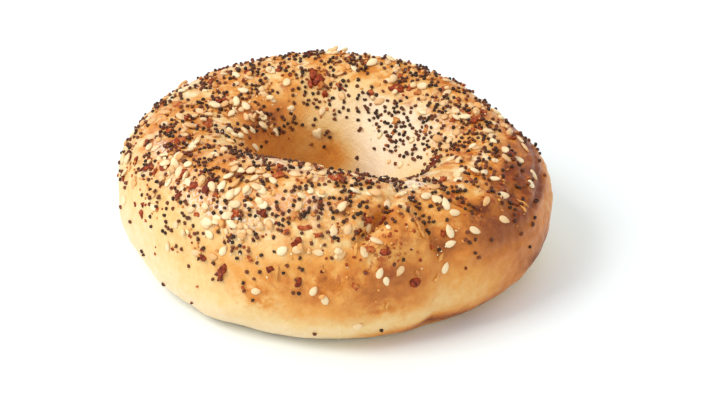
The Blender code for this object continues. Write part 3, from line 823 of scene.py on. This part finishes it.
class Bed:
    """The finished crust as a bed for toppings, and what already lies on it."""

    # What lies on it is listed by cubes of this side, and the crust's area by squares of this many degrees
    CUBE = 0.004
    SQUARE = 6.0
    # Angles are drawn this many at a time, and no topping takes more rounds
    DRAWS, ROUNDS = 4000, 1000
    # Toppings lie between these tube angles
    LOWEST, INNERMOST = -75, 200

    def __init__(self, crust, dough):
        self.dough = dough
        self.skin = BVHTree.FromPolygons(
            [v.co.copy() for v in crust.data.vertices], [tuple(f.vertices) for f in crust.data.polygons]
        )
        rings, tubes = np.arange(0, 360, self.SQUARE), np.arange(-180, 180, self.SQUARE)
        self.stretch = crust_stretch(*np.meshgrid(rings, tubes, indexing="ij"), dough)
        self.lying = {}

    def land(self, ring, tube):
        """The place on the skin at these angles, and the way out of it."""
        at, outward, _, _ = self.skin.find_nearest(Vector(crust_points(ring, tube, self.dough)))
        return at, outward

    def cube_of(self, at):
        return tuple(math.floor(part / self.CUBE) for part in at)

    def rest(self, at, reach):
        """How high a piece of this reach lies here on what is already there."""
        lift = 0.0
        for cube in itertools.product(*((part - 1, part, part + 1) for part in self.cube_of(at))):
            for other, other_reach, other_top in self.lying.get(cube, ()):
                room = (reach + other_reach) * TOUCH_SHARE
                gap = (at - other).length
                if gap < room:
                    lift = max(lift, other_top * math.sqrt(1 - (gap / room) ** 2))
        return lift

    def keep(self, at, reach, top):
        """Remembers a piece that others can lie on."""
        self.lying.setdefault(self.cube_of(at), []).append((at, reach, top))

    def strewn(self, cover, seed):
        """Draws angles by the crust's area and by how thickly the topping covers it."""
        numbers = np.random.default_rng(seed)
        for _ in range(self.ROUNDS):
            ring = numbers.uniform(0, 360, self.DRAWS)
            tube = numbers.uniform(self.LOWEST, self.INNERMOST, self.DRAWS)
            column = ((turned(tube) + 180) // self.SQUARE).astype(int)
            area = self.stretch[(ring // self.SQUARE).astype(int), column]
            kept = numbers.uniform(0, self.stretch.max(), self.DRAWS) < cover(ring, tube) * area
            yield from zip(ring[kept].tolist(), tube[kept].tolist())
        raise RuntimeError("The crust has no room left for this topping")


class Topping:
    """One kind of topping while it is laid: its mean size, the share of it that sinks in, how high it
    heaps, how far it tilts in degrees and the seed of its draws."""

    # A piece that lies on others tilts this much more
    PROPPED = 2.2
    # A heap has no more pieces than this, and spreads as if it were at least this far from the axis
    MOST_IN_HEAP, LEAST_RADIUS = 9, 0.008
    # Swing between the stretches that caught more and fewer
    SWING = 2.2

    def __init__(self, bed, size, sunk, heap, tilt, seed):
        self.bed, self.size, self.sunk, self.heap, self.tilt = bed, size, sunk, heap, tilt
        self.draw = random.Random(seed)
        self.seed = seed
        self.places = []

    def lay(self, ring, tube, turn=None, grown=(1, 1, 1), shade=None, shape=0, firm=True, always=False):
        """Lays one piece, grown by these shares of the mean length, width and thickness, unless it would
        heap too high. A piece that isn't firm holds nothing up."""
        at, outward = self.bed.land(ring, tube)
        length, width, thick = (mean * share for mean, share in zip(self.size, grown))
        reach = (length + width) / 4
        lift = self.bed.rest(at, reach)
        if at.z < LOWEST_TOPPING or (lift > self.heap and not always):
            return
        lift = min(lift, self.heap)
        if firm:
            self.bed.keep(at, reach, lift + thick * (1 - self.sunk))
        around = math.radians(ring)
        along = Vector((-math.sin(around), math.cos(around), 0))
        along = (along - outward * along.dot(outward)).normalized()
        lying = Matrix((along, outward.cross(along), outward)).transposed()
        turn = self.draw.uniform(0, 360) if turn is None else turn
        lean = math.radians(self.tilt * (self.PROPPED if lift > 0 else 1))
        turning = lying @ Matrix.Rotation(math.radians(turn), 3, "Z")
        turning = turning @ Matrix.Rotation(self.draw.gauss(0, lean), 3, "X")
        turning = turning @ Matrix.Rotation(self.draw.gauss(0, lean), 3, "Y")
        shade = self.draw.random() if shade is None else shade
        centre = at + outward * (lift + thick * (0.5 - self.sunk))
        self.places.append((centre, turning.to_euler(), grown, shade, shape))

    def strew(
        self, count, cover, grow, shapes, heap_of=1.0, heap_reach=0.0, bare=0.5, firm=True, shade=None
    ):
        """Strews this many more, in loose heaps of about heap_of, thinner where the crust stayed bare."""
        wanted = len(self.places) + count
        for ring, tube in self.bed.strewn(cover, self.seed + count):
            at, _ = self.bed.land(ring, tube)
            rich = noise.noise(at / STRETCH_SIZE + Vector((5, 5, 5)))
            if self.draw.random() > 1 - bare + self.SWING * bare * rich:
                continue
            heap = 1 + int(self.draw.expovariate(1 / max(heap_of - 1, 0.01)) + 0.5)
            for one in range(min(heap, self.MOST_IN_HEAP)):
                if len(self.places) >= wanted:
                    return
                radius = max(math.hypot(at.x, at.y), self.LEAST_RADIUS)
                aside = 0 if one == 0 else self.draw.gauss(0, heap_reach)
                above = 0 if one == 0 else self.draw.gauss(0, heap_reach)
                self.lay(
                    *beside(ring, tube, radius, aside, above), grown=grow(self.draw),
                    shade=shade(self.draw) if shade else None, shape=self.draw.choice(shapes), firm=firm,
                )


def sprinkle_tree():
    """Geometry nodes that put a shape on every marked place, at true size, as one real mesh."""
    tree = bpy.data.node_groups.new("sprinkle", "GeometryNodeTree")
    given = add_inputs(
        tree, Collection=("Shapes",), Float=("Length", "Width", "Thickness", "Shade Spread"), Int=("Seed",),
        Material=("Finish",),
    )
    marks = {
        name: add_node(tree, "GeometryNodeInputNamedAttribute", {"Name": name}, data_type=kind)
        for name, kind in (
            ("turning", "FLOAT_VECTOR"), ("grown", "FLOAT_VECTOR"), ("tone", "FLOAT"), ("shape", "INT")
        )
    }
    size = {0: given["Length"], 1: given["Width"], 2: given["Thickness"]}
    size = add_node(tree, "ShaderNodeCombineXYZ", size)
    size = add_node(tree, "ShaderNodeVectorMath", {0: size, 1: marks["grown"]}, operation="MULTIPLY")
    turning = add_node(tree, "FunctionNodeEulerToRotation", {0: marks["turning"]})
    shapes = {"Collection": given["Shapes"], "Separate Children": True, "Reset Children": True}
    shapes = add_node(tree, "GeometryNodeCollectionInfo", shapes)
    laid = {
        "Points": given["Geometry"], "Instance": shapes, "Pick Instance": True,
        "Instance Index": marks["shape"], "Rotation": turning, "Scale": size,
    }
    laid = add_node(tree, "GeometryNodeInstanceOnPoints", laid)
    shade = {"Seed": given["Seed"], 2: -1.0, 3: 1.0}
    shade = add_node(tree, "FunctionNodeRandomValue", shade, data_type="FLOAT")
    shade = {0: shade, 1: given["Shade Spread"], 2: marks["tone"]}
    shade = add_node(tree, "ShaderNodeMath", shade, operation="MULTIPLY_ADD", use_clamp=True)
    toned = {"Geometry": laid, "Name": "shade", "Value": shade}
    toned = add_node(
        tree, "GeometryNodeStoreNamedAttribute", toned, data_type="FLOAT", domain="INSTANCE"
    )
    real = add_node(tree, "GeometryNodeRealizeInstances", {"Geometry": toned})
    smooth = add_node(tree, "GeometryNodeSetShadeSmooth", {"Geometry": real, "Shade Smooth": True})
    done = add_node(tree, "GeometryNodeSetMaterial", {"Geometry": smooth, "Material": given["Finish"]})
    add_node(tree, "NodeGroupOutput", {"Geometry": done})
    return tree


def sprinkle(name, topping, makers, finish, spread=0.1):
    """Turns the laid places of a topping into one mesh of the shapes that the makers draw, which stands for
    the bagel."""
    marks = bpy.data.meshes.new("places of " + name)
    points, turnings, grown, tones, picks = zip(*topping.places)
    marks.from_pydata([tuple(p) for p in points], [], [])
    float_attribute(marks, "turning", [tuple(t) for t in turnings], "FLOAT_VECTOR")
    float_attribute(marks, "grown", grown, "FLOAT_VECTOR")
    float_attribute(marks, "tone", tones)
    marks.attributes.new("shape", "INT", "POINT").data.foreach_set("value", picks)
    places = put("places of " + name, marks)
    box = bpy.data.collections.new("shapes of " + name)
    draw = random.Random(topping.seed + 1)
    for number, make in enumerate(makers):
        shape = make(draw)
        data = bpy.data.meshes.new(f"shape {number:02d}")
        bmesh.ops.recalc_face_normals(shape, faces=shape.faces)
        shape.to_mesh(data)
        shape.free()
        box.objects.link(bpy.data.objects.new(data.name, data))
    values = dict(zip(("Length", "Width", "Thickness"), topping.size))
    values.update({"Shapes": box, "Shade Spread": spread, "Seed": topping.seed, "Finish": finish})
    made = make_plain(places, sprinkle_tree(), values, name)
    for thing in list(box.objects):
        data = thing.data
        bpy.data.objects.remove(thing)
        bpy.data.meshes.remove(data)
    bpy.data.collections.remove(box)
    stand_for_bagel(made)


def lathe(stations, sides):
    """A closed shape of hoops between two ends along X, its stations (x, half width, half thickness)."""
    mesh = bmesh.new()
    along = mesh.verts.layers.float.new("along")

    def corner(x, y, z):
        made = mesh.verts.new((x, y, z))
        made[along] = x + 0.5
        return made

    first, last = corner(stations[0][0], 0, 0), corner(stations[-1][0], 0, 0)
    hoops = []
    for x, half_width, half_thick in stations[1:-1]:
        angles = [2 * math.pi * side / sides for side in range(sides)]
        hoops.append([corner(x, half_width * math.cos(a), half_thick * math.sin(a)) for a in angles])
    for side in range(sides):
        after = (side + 1) % sides
        mesh.faces.new((first, hoops[0][after], hoops[0][side]))
        for hoop, following in zip(hoops, hoops[1:]):
            mesh.faces.new((hoop[side], hoop[after], following[after], following[side]))
        mesh.faces.new((last, hoops[-1][side], hoops[-1][after]))
    return mesh


def sesame_shape(draw):
    """A flattened teardrop, blunt at one end and drawn to a point at the other."""
    stations = [(-0.5, 0, 0)]
    for x, share in ((-0.46, 0.46), (-0.35, 0.80), (-0.14, 1.0), (0.10, 0.88), (0.29, 0.60), (0.43, 0.28)):
        half = 0.5 * share * draw.uniform(0.95, 1.03)
        stations.append((x, half, 0.5 * share**0.7))
    stations.append((0.5, 0, 0))
    return lathe(stations, 10)


def poppy_shape(draw):
    """A kidney: a ball bent round a dent on one side."""
    mesh = bmesh.new()
    bmesh.ops.create_uvsphere(mesh, u_segments=8, v_segments=5, radius=0.5)
    for vert in mesh.verts:
        dent = math.exp(-((vert.co.x / 0.22) ** 2)) * max(-vert.co.y, 0) * 0.5
        vert.co.y += dent
        vert.co *= draw.uniform(0.95, 1.04)
    return mesh


def onion_shape(draw):
    """A torn flake: a curled slab of uneven outline, thinner at its edges."""
    mesh = bmesh.new()
    sides = 11
    curl, bend, phase = draw.uniform(0.6, 1.6), draw.uniform(-0.8, 0.8), draw.uniform(0, 6.28)
    outline = []
    for side in range(sides):
        angle = 2 * math.pi * side / sides
        reach = 0.5 * draw.uniform(0.55, 1.15)
        squared = 1 / max(abs(math.cos(angle)), abs(math.sin(angle))) ** 0.5
        outline.append((math.cos(angle) * reach * squared, math.sin(angle) * reach * squared))

    def sheet(x, y, up):
        wave = 0.35 * math.sin(7 * x + phase) + curl * (y * y - 0.08) * 2 + bend * x * abs(x)
        return mesh.verts.new((x, y, wave + up))

    hoops = []
    for share, up in ((0.55, 0.5), (1.0, 0.22), (1.0, -0.3), (0.55, -0.5)):
        hoops.append([sheet(x * share, y * share, up * draw.uniform(0.8, 1.2)) for x, y in outline])
    top, bottom = sheet(0, 0, 0.5), sheet(0, 0, -0.5)
    for side in range(sides):
        after = (side + 1) % sides
        mesh.faces.new((top, hoops[0][side], hoops[0][after]))
        for hoop, following in zip(hoops, hoops[1:]):
            mesh.faces.new((hoop[side], following[side], following[after], hoop[after]))
        mesh.faces.new((bottom, hoops[3][after], hoops[3][side]))
    return mesh


def chipped(fineness, angular):
    """A maker of broken bits: balls with flats and corners."""

    def chip_shape(draw):
        mesh = bmesh.new()
        bmesh.ops.create_icosphere(mesh, subdivisions=fineness, radius=0.5)
        move = Vector((draw.uniform(0, 50), draw.uniform(0, 50), draw.uniform(0, 50)))
        for vert in mesh.verts:
            vert.co *= 1 + angular * noise.noise(vert.co * 2.6 + move) + draw.uniform(-0.06, 0.06)
            boxed = max(abs(part) for part in vert.co)
            vert.co *= 1 - angular * 0.4 * (boxed / 0.5 - 0.6)
        return mesh

    return chip_shape


def topped(ring, tube):
    """Where toppings were pressed on, from 0 to 1: all over the top, thinning down the outside."""
    tube = turned(tube)
    start = 10 - 18 * np.cos(np.radians(ring - 240))
    share = np.clip((tube - start) / 58, 0, 1) * (1 - 0.9 * ramp(tube, 122, 172))
    behind = np.where(tube < -90, 0, 1)
    return share * behind


def poppy_cover(ring, tube):
    """How thickly poppy seed lies, from 0 to 1. The other covers say the same of their toppings."""
    tube = turned(tube)
    bare = patches(ring, tube, POPPY_GAPS)
    bare += 0.95 * hump(turned(ring, 284), 20) * (1 - ramp(tube, 38, 56))
    bare += 0.85 * hump(turned(ring, 225), 50) * (1 - ramp(tube, 30, 56))
    wall = 0.4 * hump(turned(ring, 150), 34) * hump(tube - 132, 16)
    return topped(ring, tube) * np.clip(1 - bare, 0, 1) + wall


def sesame_cover(ring, tube):
    tube = turned(tube)
    rich = 0.46 + 0.5 * hump(turned(ring, 222), 42) * hump(tube - 66, 34)
    rich += 0.25 * hump(turned(ring, 75), 50) * hump(tube - 78, 18) - 0.15 * hump(turned(ring, 318), 24)
    return topped(ring, tube) * rich * (1 - 0.85 * ramp(tube, 112, 135))


def flake_cover(ring, tube):
    tube = turned(tube)
    return topped(ring, tube) * (1 - 0.8 * ramp(tube, 116, 135)) * (1 - 0.5 * hump(turned(ring, 325), 22))


def powder_cover(ring, tube):
    tube = turned(tube)
    rich = 0.14 + patches(ring, tube, POWDER_PATCHES)
    rich = np.clip(rich, 0, 1) * (1 - hump(turned(ring, 322), 30) * (1 - ramp(tube, 55, 80)))
    return topped(ring, tube) * rich * (1 - 0.4 * ramp(tube, 122, 142))


def evenly(least, most):
    """A draw of how a piece grew: one share for its three measures, and a little of its own for each."""

    def grow(draw):
        size = draw.uniform(least, most)
        return tuple(size * draw.uniform(0.92, 1.08) for _ in range(3))

    return grow


class BAGEL_OT_bake_crust(bpy.types.Operator):
    """Bakes the ring of dough with its seam, wrinkles and blisters"""

    bl_idname = "bagel.bake_crust"
    bl_label = "Bake Crust"

    def execute(self, context):
        dough = context.scene.bagel_dough
        values = {"Finish": crust_material(dough)}
        for name in (
            "dimple_size", "dimple_depth", "wrinkle_length", "wrinkle_width", "wrinkle_height",
            "blister_size", "blister_height",
        ):
            values[name.replace("_", " ").title()] = getattr(dough, name)
        crust = make_plain(rough_crust(dough), skin_tree(), values, "crust")
        for name in ("unrolled", "wrinkled", "blistered", "off_base"):
            crust.data.attributes.remove(crust.data.attributes[name])
        stand_for_bagel(crust)
        ON_CRUST.clear()
        return {"FINISHED"}


# The bed is made with the first topping and kept, because the later ones lie on the earlier ones
ON_CRUST = {}


def bed_of(context):
    """The bed of the crust that is there."""
    if "bed" not in ON_CRUST:
        ON_CRUST["bed"] = Bed(bpy.data.objects["crust"], context.scene.bagel_dough)
    return ON_CRUST["bed"]


class BAGEL_OT_strew_onion(bpy.types.Operator):
    """Lays the flakes and crumbs of toasted onion"""

    bl_idname = "bagel.strew_onion"
    bl_label = "Strew Onion"

    def execute(self, context):
        toppings = context.scene.bagel_toppings
        mean = toppings.flake_length
        size = (mean, mean * 0.62, 0.00062)
        onion = Topping(bed_of(context), size, sunk=0.25, heap=0.0010, tilt=6, seed=31)
        for ring, tube, length, width, turn, pale in LARGE_FLAKES:
            grown = (length * MM / mean, width * MM / onion.size[1], min(1.5, width / 1.3))
            shape = onion.draw.randrange(5) if length > 1.2 * width else 5 + onion.draw.randrange(3)
            onion.lay(ring, tube, turn, grown, pale, shape, always=True)
        onion.strew(
            toppings.flake_count, flake_cover, evenly(0.45, 1.15), range(5),
            shade=lambda draw: draw.uniform(0.05, 0.8),
        )
        # Crumbs are a fifth to a half of a flake's length, and stubbier
        onion.strew(
            toppings.crumb_count, flake_cover,
            lambda draw: tuple(draw.uniform(0.20, 0.50) * part for part in (1, 1.4, 2.6)), range(5, 8),
            heap_of=2.0, heap_reach=0.0012, firm=False, shade=lambda draw: draw.uniform(0.1, 1.0),
        )
        makers = [onion_shape] * 5 + [chipped(fineness=1, angular=0.5)] * 3
        sprinkle("onion_flakes", onion, makers, onion_material(toppings), spread=0.08)
        return {"FINISHED"}


class BAGEL_OT_strew_sesame(bpy.types.Operator):
    """Lays the sesame seeds"""

    bl_idname = "bagel.strew_sesame"
    bl_label = "Strew Sesame"

    def execute(self, context):
        toppings = context.scene.bagel_toppings
        size = (toppings.sesame_length, toppings.sesame_width, toppings.sesame_thickness)
        sesame = Topping(bed_of(context), size, sunk=0.32, heap=0.0009, tilt=6, seed=41)
        grow = evenly(0.84, 1.08)
        for ring, tube, turn in LONE_SESAME:
            sesame.lay(ring, tube, turn, grow(sesame.draw), sesame.draw.uniform(0, 0.5), always=True)
        sesame.strew(
            toppings.sesame_count - len(LONE_SESAME), sesame_cover, grow, range(3),
            heap_of=1.2, heap_reach=0.0035, bare=0.3, shade=lambda draw: draw.random(),
        )
        sprinkle("sesame_seeds", sesame, [sesame_shape] * 3, sesame_material(toppings))
        return {"FINISHED"}


class BAGEL_OT_strew_garlic(bpy.types.Operator):
    """Lays the bits and granules of dried garlic"""

    bl_idname = "bagel.strew_garlic"
    bl_label = "Strew Garlic"

    def execute(self, context):
        toppings = context.scene.bagel_toppings
        mean = toppings.garlic_size
        size = (mean, mean * 0.75, mean * 0.5)
        garlic = Topping(bed_of(context), size, sunk=0.35, heap=0.0010, tilt=12, seed=51)
        for ring, tube, length, pale in LARGE_GARLIC:
            grown = (length * MM / mean, length * MM / mean * 0.9, 0.9)
            garlic.lay(ring, tube, None, grown, pale, garlic.draw.randrange(4), always=True)
        garlic.strew(
            toppings.garlic_count, powder_cover, evenly(0.6, 1.2), range(4), heap_of=1.5, heap_reach=0.002
        )
        garlic.strew(
            toppings.granule_count, powder_cover, evenly(0.18, 0.42), range(4, 7),
            heap_of=3.0, heap_reach=0.0014, firm=False,
        )
        makers = [chipped(fineness=2, angular=0.45)] * 4 + [chipped(fineness=1, angular=0.5)] * 3
        sprinkle("garlic_bits", garlic, makers, garlic_material(toppings))
        return {"FINISHED"}


class BAGEL_OT_strew_poppy(bpy.types.Operator):
    """Lays the poppy seeds, in heaps and one by one"""

    bl_idname = "bagel.strew_poppy"
    bl_label = "Strew Poppy"

    def execute(self, context):
        toppings = context.scene.bagel_toppings
        length = toppings.poppy_size
        size = (length, length * 0.9, length * 0.86)
        poppy = Topping(bed_of(context), size, sunk=0.3, heap=0.00045, tilt=25, seed=61)
        grow = evenly(0.88, 1.08)
        for ring, tube, count, reach in POPPY_HEAPS:
            radius = OUTER_RADIUS if tube < 90 else INNER_RADIUS
            for _ in range(count):
                aside, above = (poppy.draw.gauss(0, reach * MM) * 0.75 for _ in range(2))
                poppy.lay(
                    *beside(ring, tube, radius, aside, above), grown=grow(poppy.draw),
                    shape=poppy.draw.randrange(3),
                )
        for ring, tube in LONE_POPPY:
            poppy.lay(ring, tube, grown=grow(poppy.draw), shape=poppy.draw.randrange(3))
        poppy.strew(
            toppings.poppy_count - len(poppy.places), poppy_cover, grow, range(3),
            heap_of=1.7, heap_reach=0.0018, bare=0.55,
        )
        sprinkle("poppy_seeds", poppy, [poppy_shape] * 3, poppy_material(toppings))
        return {"FINISHED"}


class BAGEL_OT_strew_salt(bpy.types.Operator):
    """Lays the grains of salt"""

    bl_idname = "bagel.strew_salt"
    bl_label = "Strew Salt"

    def execute(self, context):
        toppings = context.scene.bagel_toppings
        length = toppings.salt_size
        size = (length, length * 0.9, length * 0.8)
        salt = Topping(bed_of(context), size, sunk=0.2, heap=0.0012, tilt=30, seed=71)
        salt.strew(
            toppings.salt_count, powder_cover, evenly(0.6, 1.5), range(3),
            heap_of=3.0, heap_reach=0.0016, firm=False,
        )
        makers = [chipped(fineness=1, angular=0.6)] * 3
        sprinkle("salt_grains", salt, makers, salt_material(toppings))
        return {"FINISHED"}


class BAGEL_OT_set_stage(bpy.types.Operator):
    """Sets the white floor, the soft light from the left and the camera"""

    bl_idname = "bagel.set_stage"
    bl_label = "Set Stage"

    def execute(self, context):
        stage = context.scene.bagel_stage
        half = stage.floor_size / 2
        data = bpy.data.meshes.new("floor")
        corners = [(-half, -half, 0), (half, -half, 0), (half, half, 0), (-half, half, 0)]
        data.from_pydata(corners, [], [(0, 1, 2, 3)])
        white, tree, shader = new_material("matte_white_table")
        fill(tree, shader, {"Base Color": stage.floor_white, "Roughness": 0.6})
        data.materials.append(white)
        floor = put("floor", data)

        lamp = bpy.data.lights.new("key", "AREA")
        lamp.energy = stage.key_power
        lamp.size = stage.key_side
        key = put("key", lamp)
        key.location = KEY_PLACE
        key.rotation_euler = (KEY_AIM - KEY_PLACE).to_track_quat("-Z", "Y").to_euler()

        room = bpy.data.worlds.new("white room")
        room.use_nodes = True
        light = room.node_tree.nodes["Background"]
        fill(room.node_tree, light, {"Color": (1, 1, 1), "Strength": stage.room_strength})
        context.scene.world = room
        context.scene.view_settings.view_transform = "Standard"

        lens = bpy.data.cameras.new("camera")
        lens.lens = stage.lens
        lens.sensor_width = 36.0
        lens.clip_start, lens.clip_end = 0.01, 50.0
        camera = put("camera", lens)
        tilt = stage.camera_elevation
        camera.location = CAMERA_AIM + Vector((0, -math.cos(tilt), math.sin(tilt))) * stage.camera_distance
        camera.rotation_euler = (math.pi / 2 - tilt, 0, 0)
        context.scene.camera = camera
        return {"FINISHED"}


class BAGEL_PT_sidebar(bpy.types.Panel):
    """Lists the steps of making the bagel, with their settings"""

    bl_label = "Everything Bagel"
    bl_idname = "BAGEL_PT_sidebar"
    bl_space_type = "VIEW_3D"
    bl_region_type = "UI"
    bl_category = "Bagel"

    def draw(self, context):
        for group, steps in (
            ("bagel_dough", ("bake_crust",)),
            (
                "bagel_toppings",
                ("strew_onion", "strew_sesame", "strew_garlic", "strew_poppy", "strew_salt"),
            ),
            ("bagel_stage", ("set_stage",)),
        ):
            box = self.layout.box()
            settings = getattr(context.scene, group)
            for name in settings.__annotations__:
                box.prop(settings, name)
            for step in steps:
                box.operator("bagel." + step)


CLASSES = (
    BagelDough, BagelToppings, BagelStage, BAGEL_OT_bake_crust, BAGEL_OT_strew_onion, BAGEL_OT_strew_sesame,
    BAGEL_OT_strew_garlic, BAGEL_OT_strew_poppy, BAGEL_OT_strew_salt, BAGEL_OT_set_stage, BAGEL_PT_sidebar,
)


def register():
    for one in CLASSES:
        bpy.utils.register_class(one)
    bpy.types.Scene.bagel_dough = bpy.props.PointerProperty(type=BagelDough)
    bpy.types.Scene.bagel_toppings = bpy.props.PointerProperty(type=BagelToppings)
    bpy.types.Scene.bagel_stage = bpy.props.PointerProperty(type=BagelStage)


def unregister():
    del bpy.types.Scene.bagel_stage
    del bpy.types.Scene.bagel_toppings
    del bpy.types.Scene.bagel_dough
    for one in reversed(CLASSES):
        bpy.utils.unregister_class(one)


def main():
    register()
    bpy.ops.bagel.bake_crust()
    bpy.ops.bagel.strew_onion()
    bpy.ops.bagel.strew_sesame()
    bpy.ops.bagel.strew_garlic()
    bpy.ops.bagel.strew_poppy()
    bpy.ops.bagel.strew_salt()
    bpy.ops.bagel.set_stage()


if __name__ == "__main__":
    main()
